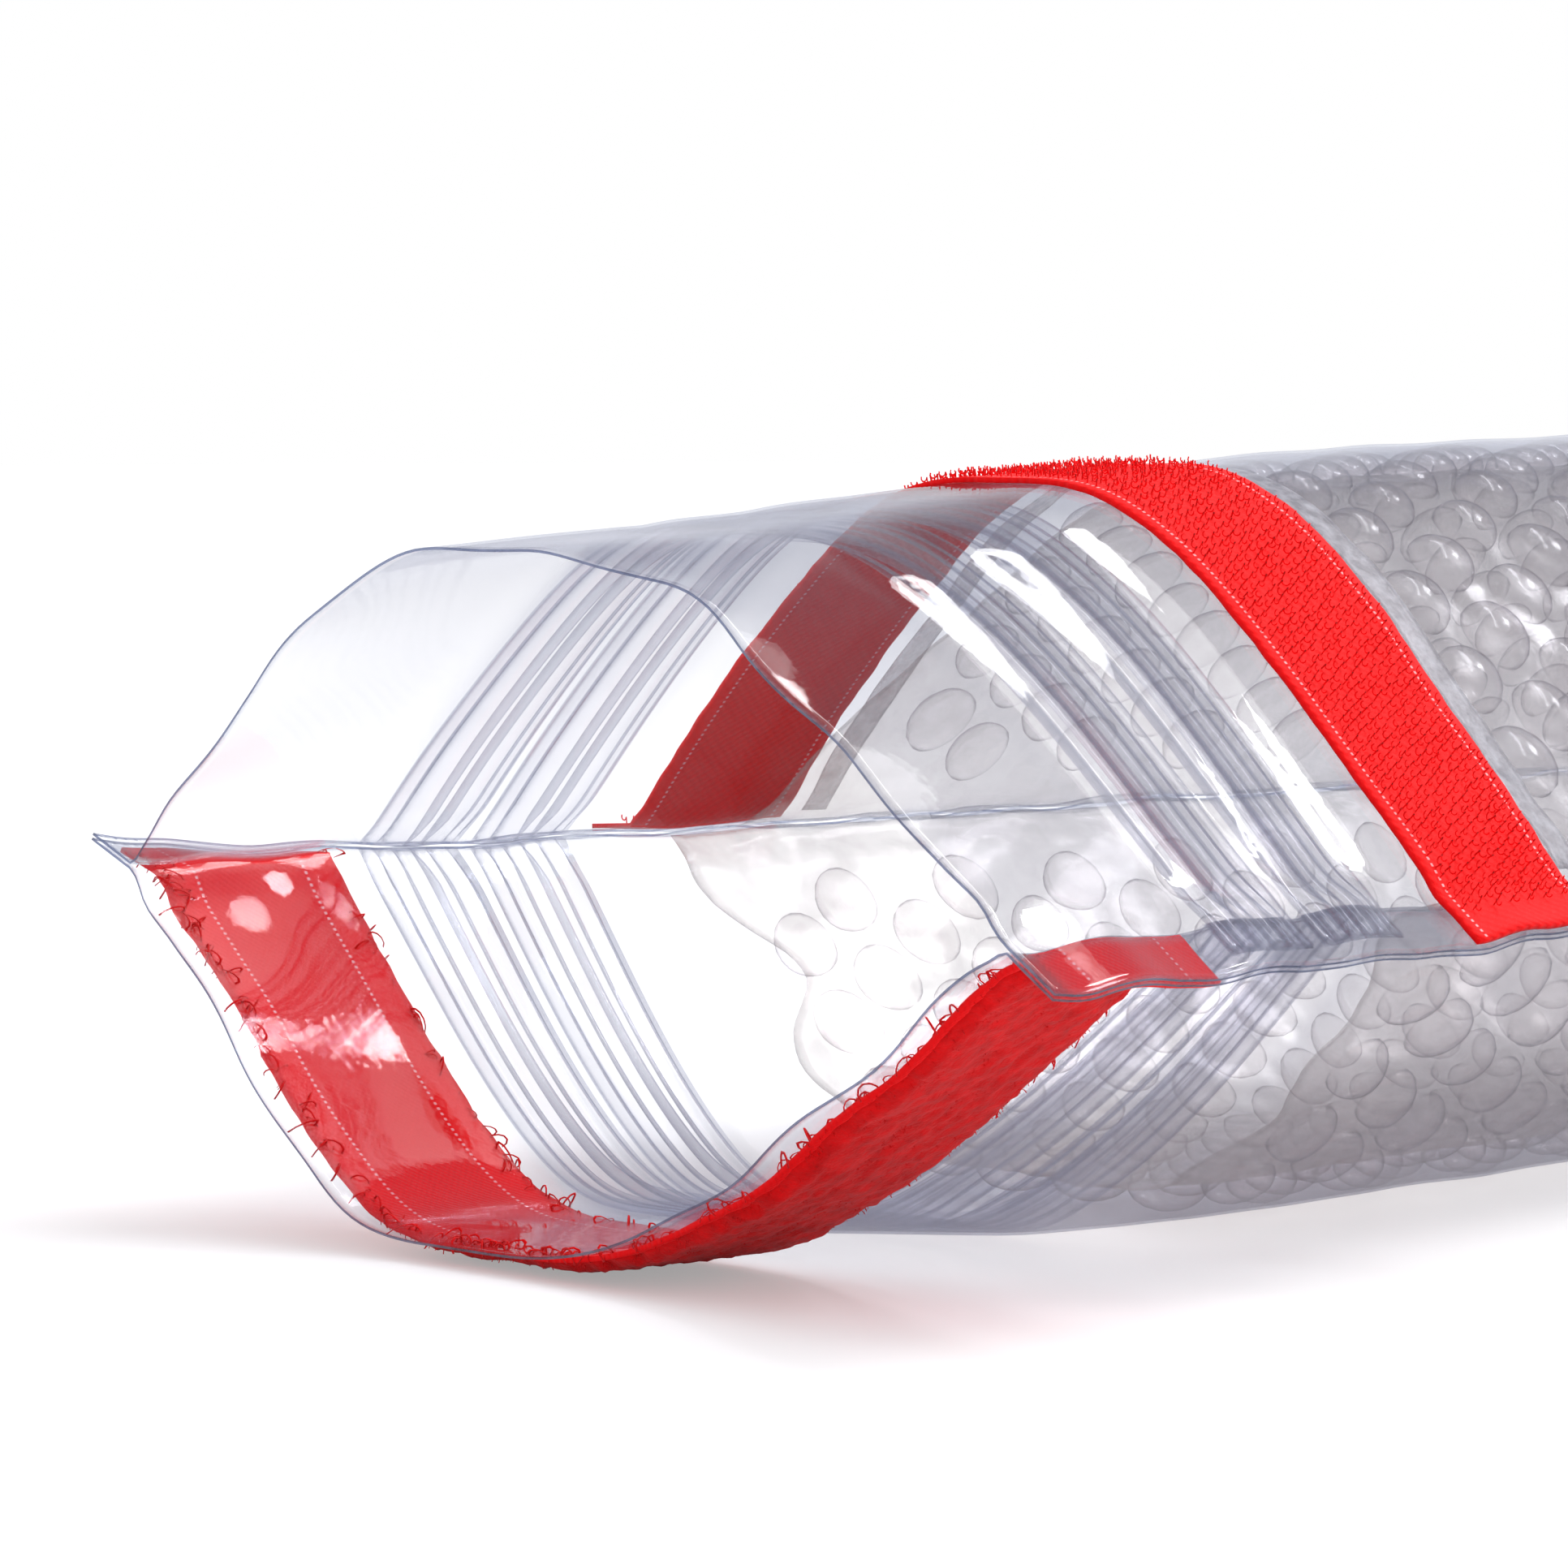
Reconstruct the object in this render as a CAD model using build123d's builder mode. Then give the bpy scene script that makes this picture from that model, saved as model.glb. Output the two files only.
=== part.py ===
"""Roll-top travel bag for a bottle: clear film, two press-to-close tracks, hook-and-loop tape, bubble liner.

The bag lies open on its lower panel. X runs across it, Y from the mouth to the bottom weld, Z up.
The origin is the middle of the bag's length and width, on the surface it lies on.
"""
import os
from math import atan2, cos, sin, sqrt, tan

from build123d import *

# Driving sizes, in millimetres. "From mouth" values are measured along Y from the mouth edge.
bag_length = 430  # mouth edge to bottom edge
film_width = 158  # flat film between the two side welds
weld_width = 8  # side welds and bottom weld
film = 0.3  # panel film thickness
seam_height = 42  # side seams above the surface that the bag lies on
mouth_crown = 37.5  # crown of the upper panel above the seams, at the mouth edge
tape_crown = 44  # the same at the hook tape
full_crown = 50  # the same along the filled part
full_from = 190  # from mouth: where the filled part begins
taper_from = 350  # from mouth: where the end starts to close down to the bottom weld
rest_width = 30  # flat strip that the lower panel lies on
crown_width = 4  # flat strip along the top

tape_width = 25  # both hook-and-loop tapes
tape_ground = 0.6  # woven ground of both tapes
selvedge = 2.2  # bare edge of the woven ground
loop_from = 4  # from mouth: loop tape, outside the lower panel
loop_height = 2.0
hook_from = 76  # from mouth: hook tape, outside the upper panel
hook_height = 1.6
hook_row_width = 2.0
hook_row_count = 6

zip_from = 33  # from mouth: first edge of the front track strip
zip_strip_width = 15
zip_strip_gap = 2  # between the front and the rear track strip
zip_base = 0.35
rib_height = 1.9  # height of the male rib above its strip
rib_stem = 0.7
rib_head = 1.5
channel_wall = 0.6
fit_play = 0.1  # play on each side of the rib's head in its channel

bond_width = 4.5  # strip that bonds the upper liner to the upper panel
bond_thickness = 0.2
upper_liner_from = 103  # from mouth
lower_liner_from = 85
liner_to_weld = 17  # liner's end short of the bottom weld
liner_film = 0.2
bubble_height = 3.6
bubble_pitch = 12  # between neighbouring bubbles of a row; rows stand closer, staggered
bubble_land = 0.8  # flat film between two rows
bubble_slope = 2.4  # from the middle of that film to a bubble's top
bubble_film = 0.2

body_gap = 0.3  # air between the two panels in the welds, which are on two bodies
seat_gap = 0.25  # air between a curved piece and the curved face it lies on
bubble_seat = 0.15
weave_seat = 0.05  # air between a woven ground and what stands on it

# Shape of a section of the filled tube
pull_in = 1.1  # how strongly a higher crown draws the two seams together
flank_steepness = 1.47  # flank slope at the seam over the mean slope up to the crown
fullness = 0.85  # share of each tangent that the section's curve follows

UPPER, LOWER = 1, -1
weld_from = bag_length - weld_width
zip_to = zip_from + 2 * zip_strip_width + zip_strip_gap
loop_stack = film + seat_gap + tape_ground + weave_seat + loop_height
taper_steps = (0, 0.35, 0.6, 0.8, 0.93, 1)


def station_list():
    """Main stations: distance from the mouth, crown above the seams, depth below them."""
    full_depth = seam_height - body_gap / 2 - film
    lip_depth = seam_height - body_gap / 2 - loop_stack
    mouth_rise = (tape_crown - mouth_crown) / hook_from
    stations = [
        (0, mouth_crown, lip_depth),
        (zip_from, mouth_crown + mouth_rise * zip_from, lip_depth),
        (zip_to, mouth_crown + mouth_rise * zip_to, full_depth),
        (hook_from, tape_crown, full_depth),
        (full_from, full_crown, full_depth),
    ]
    for step in taper_steps:
        share = sqrt(1 - step**2)
        place = taper_from + (weld_from - taper_from) * step
        stations.append((place, full_crown * share, full_depth * share))
    stations.append((bag_length, 0, 0))
    return stations


main_stations = station_list()


def half_section(station, side, lift, room):
    """Control points of the left half of a sheet that follows a panel.

    lift is the distance outward from the panel's inner face. A sheet inside the bag gives room,
    the depth that it and its neighbours take, and then stops short of the seam by as much.
    """
    place, crown, depth = station
    half_chord = sqrt((film_width / 2) ** 2 - (pull_in * crown) ** 2)
    rise = crown if side == UPPER else depth
    top_half = (crown_width if side == UPPER else rest_width) / 2
    run = (half_chord - top_half) / flank_steepness
    angle = atan2(rise, run)
    inner = body_gap / 2
    knee = (-half_chord + run, rise + inner)
    start = (-half_chord - lift * tan(angle / 2), inner + lift)
    if room:
        back = (room * cos(angle) + seat_gap) / sin(angle)
        start = (
            -half_chord + back * cos(angle) - lift * sin(angle),
            inner + back * sin(angle) + lift * cos(angle),
        )
    leave = (
        -half_chord + fullness * run - lift * sin(angle),
        inner + fullness * rise + lift * cos(angle),
    )
    arrive = (-top_half + fullness * (knee[0] + top_half), rise + inner + lift)
    top = (-top_half, rise + inner + lift)
    edge = (-half_chord - weld_width, inner + lift)
    return [Vector(x, seam_height + side * z) for x, z in (edge, start, leave, arrive, top)]


def section_points(place, side, lift, room=0):
    """The half section at any distance from the mouth, straight between the main stations."""
    for before, after in zip(main_stations, main_stations[1:]):
        if before[0] <= place <= after[0]:
            share = (place - before[0]) / (after[0] - before[0])
            first = half_section(before, side, lift, room)
            second = half_section(after, side, lift, room)
            return [a + (b - a) * share for a, b in zip(first, second)]


def mirrored(point):
    return Vector(-point.X, point.Y)


def cut_plane(place):
    """Upright plane across the bag, with its x along X and its y along Z."""
    return Plane(origin=(0, place - bag_length / 2, 0), x_dir=(1, 0, 0), z_dir=(0, -1, 0))


def sheet_section(place, side, low, high, room=0):
    """Closed outline across the bag of a sheet between two distances from a panel's inner face."""
    ends = []
    with BuildSketch(cut_plane(place)) as outline:
        with BuildLine():
            for lift in (low, high):
                edge, start, leave, arrive, top = section_points(place, side, lift, room)
                Bezier(start, leave, arrive, top)
                Line(top, mirrored(top))
                Bezier(*(mirrored(point) for point in (top, arrive, leave, start)))
                if room:
                    ends.append(start)
                else:
                    Line(edge, start)
                    Line(mirrored(start), mirrored(edge))
                    ends.append(edge)
            Line(*ends)
            Line(*(mirrored(point) for point in ends))
        make_face()
    return outline.sketch


def sheet_loft(start, end, side, low, high, room=0):
    """Lofts a sheet along the bag from start to end, through the main stations between them."""
    places = [start] + [row[0] for row in main_stations if start < row[0] < end] + [end]
    loft(sections=[sheet_section(place, side, low, high, room) for place in places], ruled=True)


def keep(piece, name):
    """Labels one finished sub-part and writes it."""
    piece.part.label = name
    export_step(piece.part, f"parts/{name}.step")


os.makedirs("parts", exist_ok=True)

# The two film panels, with the flanges that are welded to each other at the sides and the bottom
for side, name in ((UPPER, "upper_panel"), (LOWER, "lower_panel")):
    with BuildPart() as panel:
        sheet_loft(0, bag_length, side, 0, film)
    keep(panel, name)

# Press-to-close tracks: ribs on the lower panel, channels on the upper panel, two of each
zip_room = seat_gap + zip_base + rib_height
rib_root = -seat_gap - zip_base / 2
rib_tip = -zip_room
neck = rib_tip + rib_head / 2
wall_middle = rib_head / 2 + fit_play + channel_wall / 2


def track_ridge(middle, width, side, low, high):
    """One ridge of a track, across the whole bag."""
    sheet_loft(middle - width / 2, middle + width / 2, side, low, high, zip_room)


for side, kind in ((UPPER, "channel"), (LOWER, "rib")):
    for position, start in (("front", zip_from), ("rear", zip_from + zip_strip_width + zip_strip_gap)):
        middle = start + zip_strip_width / 2
        with BuildPart() as track:
            track_ridge(middle, zip_strip_width, side, -seat_gap - zip_base, -seat_gap)
            if kind == "rib":
                track_ridge(middle, rib_stem, side, rib_tip, rib_root)
                track_ridge(middle, rib_head, side, rib_tip, neck)
            else:
                track_ridge(middle - wall_middle, channel_wall, side, rib_tip, rib_root)
                track_ridge(middle + wall_middle, channel_wall, side, rib_tip, rib_root)
        keep(track, f"{position}_zip_{kind}")

# Loop tape outside the lower panel at the mouth, hook tape outside the upper panel behind the tracks
ground_low = film + seat_gap
ground_high = ground_low + tape_ground
face_low = ground_high + weave_seat
for side, start, name in ((LOWER, loop_from, "loop_tape_ground"), (UPPER, hook_from, "hook_tape_ground")):
    with BuildPart() as ground:
        sheet_loft(start, start + tape_width, side, ground_low, ground_high)
    keep(ground, name)

with BuildPart() as loop_pile:
    sheet_loft(
        loop_from + selvedge,
        loop_from + tape_width - selvedge,
        LOWER,
        face_low,
        face_low + loop_height,
    )
keep(loop_pile, "loop_tape_pile")

hook_pitch = (tape_width - 2 * selvedge - hook_row_width) / (hook_row_count - 1)
with BuildPart() as hook_rows:
    for row in range(hook_row_count):
        row_from = hook_from + selvedge + row * hook_pitch
        sheet_loft(row_from, row_from + hook_row_width, UPPER, face_low, face_low + hook_height)
keep(hook_rows, "hook_tape_hooks")

# Bubble liner inside each panel: bubbles towards the panel, flat film towards the bottle
bubble_top = -seat_gap
bubble_foot = bubble_top - bubble_height
liner_high = bubble_foot - bubble_seat
liner_low = liner_high - liner_film
liner_room = -liner_low
liner_end = weld_from - liner_to_weld

with BuildPart() as bond_strip:
    sheet_loft(
        upper_liner_from,
        upper_liner_from + bond_width,
        UPPER,
        -seat_gap - bond_thickness,
        -seat_gap,
        liner_room,
    )
keep(bond_strip, "liner_bond_strip")

row_pitch = bubble_pitch * sqrt(3) / 2


def bubble_sections(start, end, side):
    """Sections of the formed film: one ridge for each row of bubbles, from the backing to the panel."""
    for row in range(int((end - start) / row_pitch)):
        row_from = start + row * row_pitch
        row_to = row_from + row_pitch
        ridge = (
            (row_from + bubble_land / 2, bubble_foot),
            (row_from + bubble_slope, bubble_top - bubble_film),
            (row_to - bubble_slope, bubble_top - bubble_film),
            (row_to - bubble_land / 2, bubble_foot),
        )
        for place, low in ridge:
            yield sheet_section(place, side, low, low + bubble_film, liner_room)


for side, half, start in ((UPPER, "upper", upper_liner_from + bond_width), (LOWER, "lower", lower_liner_from)):
    with BuildPart() as backing:
        sheet_loft(start, liner_end, side, liner_low, liner_high, liner_room)
    keep(backing, f"{half}_liner_film")
    with BuildPart() as bubbles:
        loft(sections=list(bubble_sections(start, liner_end, side)), ruled=True)
    keep(bubbles, f"{half}_liner_bubbles")
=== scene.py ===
import math

import bpy
import numpy as np
from mathutils import Matrix, Vector, noise


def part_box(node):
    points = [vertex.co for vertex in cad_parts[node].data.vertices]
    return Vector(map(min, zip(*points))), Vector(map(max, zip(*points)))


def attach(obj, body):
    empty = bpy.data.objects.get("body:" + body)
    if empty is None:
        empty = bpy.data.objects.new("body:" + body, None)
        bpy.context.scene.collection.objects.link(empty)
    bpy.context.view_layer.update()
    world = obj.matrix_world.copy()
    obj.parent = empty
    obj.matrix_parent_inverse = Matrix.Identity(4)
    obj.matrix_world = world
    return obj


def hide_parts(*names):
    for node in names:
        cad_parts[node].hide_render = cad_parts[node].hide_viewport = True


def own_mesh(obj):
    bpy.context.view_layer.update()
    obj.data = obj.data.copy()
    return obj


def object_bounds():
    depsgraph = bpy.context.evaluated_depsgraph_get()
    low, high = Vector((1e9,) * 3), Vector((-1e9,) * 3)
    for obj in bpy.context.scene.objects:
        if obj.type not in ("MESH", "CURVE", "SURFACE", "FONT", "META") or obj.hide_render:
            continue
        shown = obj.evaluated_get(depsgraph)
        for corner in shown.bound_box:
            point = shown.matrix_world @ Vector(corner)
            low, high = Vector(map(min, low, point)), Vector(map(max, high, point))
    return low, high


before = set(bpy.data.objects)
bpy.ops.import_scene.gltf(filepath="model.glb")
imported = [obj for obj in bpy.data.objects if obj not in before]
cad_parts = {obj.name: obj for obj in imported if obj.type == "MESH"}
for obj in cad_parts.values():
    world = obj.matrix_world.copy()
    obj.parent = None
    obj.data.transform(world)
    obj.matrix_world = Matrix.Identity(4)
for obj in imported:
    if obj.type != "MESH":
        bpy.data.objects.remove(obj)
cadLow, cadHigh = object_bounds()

mm = 0.001
upper, lower = 1, -1
bodyOf = {upper: "upper_half", lower: "lower_half"}
mouthY = cadLow.y                       # the mouth edge; "from mouth" values run along +Y from here
bagLength = cadHigh.y - cadLow.y
random = np.random.RandomState(7)       # one seeded source for everything that is scattered

# The bag's shape: every piece is made flat, then wrapped onto this
shape = {
    "seamHeight": 42.0 * mm,            # side seams over the floor
    "halfFilm": 79.0 * mm,              # middle of a panel to its side weld, along the film
    "weld": 8.0 * mm,                   # width of the side and bottom welds
    "bodyGap": 0.15 * mm,               # each panel's inner face off the seam plane
    "pullIn": 1.1,                      # a higher crown draws the two seams together
    "flankSteepness": 1.47,             # flank slope at the seam over the mean slope
    "fullness": 0.85,                   # share of each tangent that the section follows
    "taperFrom": 350.0 * mm,            # where the end starts to close
    "crown": ((0, 37.2), (30, 39.6), (76, 44.0), (130, 47.6), (190, 49.8), (430, 49.8)),
    "depth": ((0, 38.6), (33, 38.6), (65, 41.4), (430, 41.4)),
    "upperTopAt": ((0, -5.5), (40, -4), (76, -2), (190, 0), (430, 0)),   # where the crown stands, across
    "lowerTopAt": ((0, -12.5), (40, -10), (90, -3), (190, 0), (430, 0)),
    "upperTopHalf": ((0, 6.5), (76, 4), (430, 2)),                       # half of the level strip
    "lowerTopHalf": ((0, 5), (33, 8), (80, 15), (430, 15)),
    "nearFlange": ((0, -34), (60, -42), (110, -30), (200, -12), (430, 0)),   # weld's tilt, degrees
    "farFlange": ((0, 24), (25, -2), (120, -6), (430, 0)),
}


def keyed(name, place):
    # Value of one of the shape's lists at a distance from the mouth.
    at, value = zip(*shape[name])
    return np.interp(place / mm, at, value)


def bezier(points, steps=60):
    t = np.linspace(0, 1, steps)[:, None]
    a, b, c, d = (np.array(p)[None, :] for p in points)
    return (1 - t) ** 3 * a + 3 * (1 - t) ** 2 * t * b + 3 * (1 - t) * t * t * c + t ** 3 * d


def sectionLine(side, place, across):
    # x and z of a panel's inner face at one distance from the mouth, at the given places across.
    step = np.clip((place - shape["taperFrom"]) / (bagLength - shape["weld"] - shape["taperFrom"]), 0, 1)
    share = math.sqrt(1 - step ** 2)
    crown = keyed("crown", place) * mm * share
    rise = crown if side == upper else keyed("depth", place) * mm * share
    topAt = keyed("upperTopAt" if side == upper else "lowerTopAt", place) * mm
    topHalf = keyed("upperTopHalf" if side == upper else "lowerTopHalf", place) * mm
    half = math.sqrt(shape["halfFilm"] ** 2 - (shape["pullIn"] * crown) ** 2)
    line = []
    for hand in (-1, 1):
        span = half - hand * topAt - topHalf
        run = span / shape["flankSteepness"]
        full = shape["fullness"]
        start = (hand * half, 0)
        leave = (hand * (half - full * run), full * rise)
        arrive = (topAt + hand * (topHalf + full * (span - run)), rise)
        top = (topAt + hand * topHalf, rise)
        line.append(bezier((start, leave, arrive, top)))
    points = np.vstack([line[0], line[1][::-1]])
    lengths = np.concatenate([[0], np.cumsum(np.linalg.norm(np.diff(points, axis=0), axis=1))])
    at = (np.clip(across / shape["halfFilm"], -1, 1) + 1) / 2 * lengths[-1]
    x = np.interp(at, lengths, points[:, 0])
    z = np.interp(at, lengths, points[:, 1]) * side
    beyond = np.clip(np.abs(across) - shape["halfFilm"], 0, None)
    tilt = np.radians(np.where(across > 0, keyed("nearFlange", place), keyed("farFlange", place)))
    x = x + np.sign(across) * beyond * np.cos(tilt)
    z = z + beyond * np.sin(tilt) + side * shape["bodyGap"]
    return x, z + shape["seamHeight"]


def softNoise(across, place, wide, long, seed):
    # Smooth noise over the flat film, about -1 to 1, with one grain size across and one along.
    flat = np.stack(np.broadcast_arrays(across / wide, place / long), -1).reshape(-1, 2)
    value = [noise.noise(Vector((a, b, seed))) for a, b in flat]
    return np.array(value).reshape(np.broadcast(across, place).shape)


acrossGrid = np.arange(-87, 88) * mm
alongGrid = np.linspace(0, bagLength, 431)


def smoothStep(low, high, value):
    t = np.clip((value - low) / (high - low), 0, 1)
    return t * t * (3 - 2 * t)


def buckles(side, across, place):
    # How far the film stands off its smooth shape: lip waves, puckers at the welds, soft folds.
    inFilm = 1 - smoothStep(70 * mm, 80 * mm, np.abs(across))
    lip = np.exp(-place / (11 * mm)) * softNoise(across, place, 17 * mm, 40 * mm, 3.1 + side) * 2.2 * mm
    soft = softNoise(across, place, 34 * mm, 46 * mm, 8.4 + side) * 0.9 * mm
    pucker = softNoise(across, place, 40 * mm, 7 * mm, 12.7) * 1.1 * mm
    pucker = pucker * np.exp(-np.abs(np.abs(across) - 79 * mm) / (5 * mm))
    folds = softNoise(across + place * 0.7, place - across * 0.5, 13 * mm, 40 * mm, 20.3) * 1.3 * mm
    folds = folds * smoothStep(68 * mm, 95 * mm, place) * (0.35 if side == upper else 1)
    tracks = np.sin((place - 33 * mm) / (17 * mm) * 2 * math.pi) * 0.45 * mm     # the stiff strips dish the film
    tracks = tracks * smoothStep(24 * mm, 34 * mm, place) * (1 - smoothStep(64 * mm, 74 * mm, place))
    folds = folds + tracks * smoothStep(8 * mm, 26 * mm, np.abs(across))
    ends = 1 - smoothStep(380 * mm, 418 * mm, place)
    rest = 1 if side == upper else smoothStep(14 * mm, 30 * mm, np.abs(across))   # flat where it lies
    return ((lip * np.minimum(inFilm + 0.3, 1) + (soft + folds) * inFilm) * rest + pucker) * ends


def panelTable(side):
    # Places and outward normals of a panel's inner face over the whole flat film.
    rows = [sectionLine(side, place, acrossGrid) for place in alongGrid]
    x, z = np.array([r[0] for r in rows]), np.array([r[1] for r in rows])
    y = np.repeat((alongGrid + mouthY)[:, None], len(acrossGrid), 1)
    points = np.stack([x, y, z], -1)
    for turn in range(6):               # rounds the change from station to station
        points[1:-1] = (points[:-2] + 2 * points[1:-1] + points[2:]) / 4
    normals = surfaceNormals(points, side)
    stand = buckles(side, acrossGrid[None, :], alongGrid[:, None])
    weldShare = smoothStep(74 * mm, 79 * mm, np.abs(acrossGrid))[None, :]
    points = points + normals * (stand * (1 - weldShare))[..., None]
    ripple = softNoise(acrossGrid[None, :], alongGrid[:, None], 60 * mm, 11 * mm, 31.0) * 1.0 * mm
    points[..., 2] += ripple * weldShare * (1 - smoothStep(380 * mm, 418 * mm, alongGrid))[:, None]
    return points, surfaceNormals(points, side)


def surfaceNormals(points, side):
    along = np.gradient(points, axis=0)
    across = np.gradient(points, axis=1)
    normal = np.cross(across, along) * side
    return normal / np.linalg.norm(normal, axis=-1, keepdims=True)


tables = {side: panelTable(side) for side in (upper, lower)}
print("bag surface ready")


def onPanel(side, across, place, lift):
    # Points of flat places, wrapped onto a panel. Inner pieces thin out into the welds.
    points, normals = tables[side]
    column = np.clip((across - acrossGrid[0]) / mm, 0, len(acrossGrid) - 1.001)
    row = np.clip(place / (alongGrid[1] - alongGrid[0]), 0, len(alongGrid) - 1.001)
    i, j = row.astype(int), column.astype(int)
    fi, fj = (row - i)[:, None], (column - j)[:, None]
    mixed = []
    for table in (points, normals):
        near = table[i, j] * (1 - fj) + table[i, j + 1] * fj
        far = table[i + 1, j] * (1 - fj) + table[i + 1, j + 1] * fj
        mixed.append(near * (1 - fi) + far * fi)
    room = np.clip((shape["halfFilm"] - np.abs(across)) / (7 * mm), 0, 1) ** 0.8
    room = room * np.clip((bagLength - shape["weld"] - place) / (20 * mm), 0, 1) ** 0.8
    lift = np.where(lift < 0, lift * np.maximum(room, 0.02), lift)
    return mixed[0] + mixed[1] * lift[:, None]


# Modelling helpers
def deselectAll():
    bpy.ops.object.select_all(action="DESELECT")


def activate(piece):
    deselectAll()
    piece.select_set(True)
    bpy.context.view_layer.objects.active = piece


def flatGrid(name, across, along):
    # A flat grid of faces with its columns and rows at the given places.
    deselectAll()
    bpy.ops.mesh.primitive_grid_add(x_subdivisions=len(across) - 1, y_subdivisions=len(along) - 1, size=1)
    piece = bpy.context.object
    piece.name = name
    co = readPoints(piece)
    column = np.rint((co[:, 0] + 0.5) * (len(across) - 1)).astype(int)
    row = np.rint((co[:, 1] + 0.5) * (len(along) - 1)).astype(int)
    writePoints(piece, np.stack([np.array(across)[column], np.array(along)[row], co[:, 0] * 0], 1))
    return piece


def readPoints(piece):
    co = np.empty(len(piece.data.vertices) * 3)
    piece.data.vertices.foreach_get("co", co)
    return co.reshape(-1, 3)


def writePoints(piece, co):
    piece.data.vertices.foreach_set("co", np.asarray(co, np.float32).ravel())
    piece.data.update()


def applyModifier(piece, kind, **settings):
    modifier = piece.modifiers.new(kind.lower(), kind)
    for key, value in settings.items():
        setattr(modifier, key, value)
    activate(piece)
    bpy.ops.object.modifier_apply(modifier=modifier.name)


def pickFaces(piece, test):
    # Selects the faces whose middle and normal pass the test, and nothing else.
    mesh = piece.data
    mesh.vertices.foreach_set("select", [False] * len(mesh.vertices))
    mesh.edges.foreach_set("select", [False] * len(mesh.edges))
    mesh.polygons.foreach_set("select", [bool(test(p.center, p.normal)) for p in mesh.polygons])


def extrudeFaces(piece, test, move):
    activate(piece)
    bpy.context.tool_settings.mesh_select_mode = (False, False, True)
    pickFaces(piece, test)
    bpy.ops.object.mode_set(mode="EDIT")
    bpy.ops.mesh.extrude_region_move(TRANSFORM_OT_translate={"value": move})
    bpy.ops.object.mode_set(mode="OBJECT")


def flatMap(piece):
    # Keeps the flat places, in millimetres, as the piece's UV map, for patterns that follow it.
    mesh = piece.data
    layer = mesh.uv_layers.get("flat") or mesh.uv_layers.new(name="flat")
    for other in [l.name for l in mesh.uv_layers if l.name != "flat"]:
        mesh.uv_layers.remove(mesh.uv_layers[other])
    corner = np.empty(len(mesh.loops), int)
    mesh.loops.foreach_get("vertex_index", corner)
    flat = readPoints(piece)[corner][:, :2] / mm
    layer = mesh.uv_layers["flat"]
    layer.data.foreach_set("uv", flat.astype(np.float32).ravel())
    layer.active = True
    layer.active_render = True


def recalculate(piece):
    activate(piece)
    bpy.ops.object.mode_set(mode="EDIT")
    bpy.ops.mesh.select_all(action="SELECT")
    bpy.ops.mesh.normals_make_consistent(inside=False)
    bpy.ops.object.mode_set(mode="OBJECT")
    piece.data.polygons.foreach_set("use_smooth", [True] * len(piece.data.polygons))


def wrapPiece(piece, side):
    # Flat places become the piece's map, then the piece goes round its panel.
    flatMap(piece)
    co = readPoints(piece)
    writePoints(piece, onPanel(side, co[:, 0], co[:, 1], co[:, 2]))
    recalculate(piece)


def settle(piece, side, nodes, materials):
    # Body, hidden CAD nodes and finish.
    piece.data.materials.clear()
    for material in materials:
        piece.data.materials.append(material)
    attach(piece, bodyOf[side])
    if nodes:
        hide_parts(*nodes)
    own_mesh(piece)


def tiled(name, unit, places):
    # One mesh of many copies of a unit: each place is across, along, lift, turn and size.
    co = readPoints(unit)
    faces = [tuple(p.vertices) for p in unit.data.polygons]
    allPoints, allFaces = [], []
    for count, (across, along, lift, turn, size, lean) in enumerate(places):
        c, s = math.cos(turn), math.sin(turn)
        x, y, z = co[:, 0] * size, co[:, 1] * size, co[:, 2] * size
        x = x + z * lean
        allPoints.append(np.stack([across + x * c - y * s, along + x * s + y * c, lift + z], 1))
        first = count * len(co)
        allFaces += [tuple(first + v for v in face) for face in faces]
    mesh = bpy.data.meshes.new(name)
    mesh.from_pydata(np.vstack(allPoints).tolist(), [], allFaces)
    piece = bpy.data.objects.new(name, mesh)
    bpy.context.scene.collection.objects.link(piece)
    bpy.data.objects.remove(unit)
    return piece


# Materials
def linear(code):
    # An sRGB hex colour as linear RGBA.
    parts = [int(code[i:i + 2], 16) / 255 for i in (1, 3, 5)]
    return tuple(c / 12.92 if c <= 0.04045 else ((c + 0.055) / 1.055) ** 2.4 for c in parts) + (1,)


def newMaterial(name):
    material = bpy.data.materials.new(name)
    material.use_nodes = True
    material.node_tree.nodes.clear()
    return material


def addNode(material, kind, settings=(), links=()):
    # Adds a node; settings are attributes or input values, links are input to (node, output).
    tree = material.node_tree
    node = tree.nodes.new("ShaderNode" + kind)
    for key, value in dict(settings).items():
        if isinstance(key, str) and hasattr(node, key):
            setattr(node, key, value)
        else:
            node.inputs[key].default_value = value
    for key, (source, output) in dict(links).items():
        tree.links.new(source.outputs[output], node.inputs[key])
    return node


def closeMaterial(material, shader):
    out = material.node_tree.nodes.new("ShaderNodeOutputMaterial")
    material.node_tree.links.new(shader.outputs[0], out.inputs["Surface"])
    return material


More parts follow.
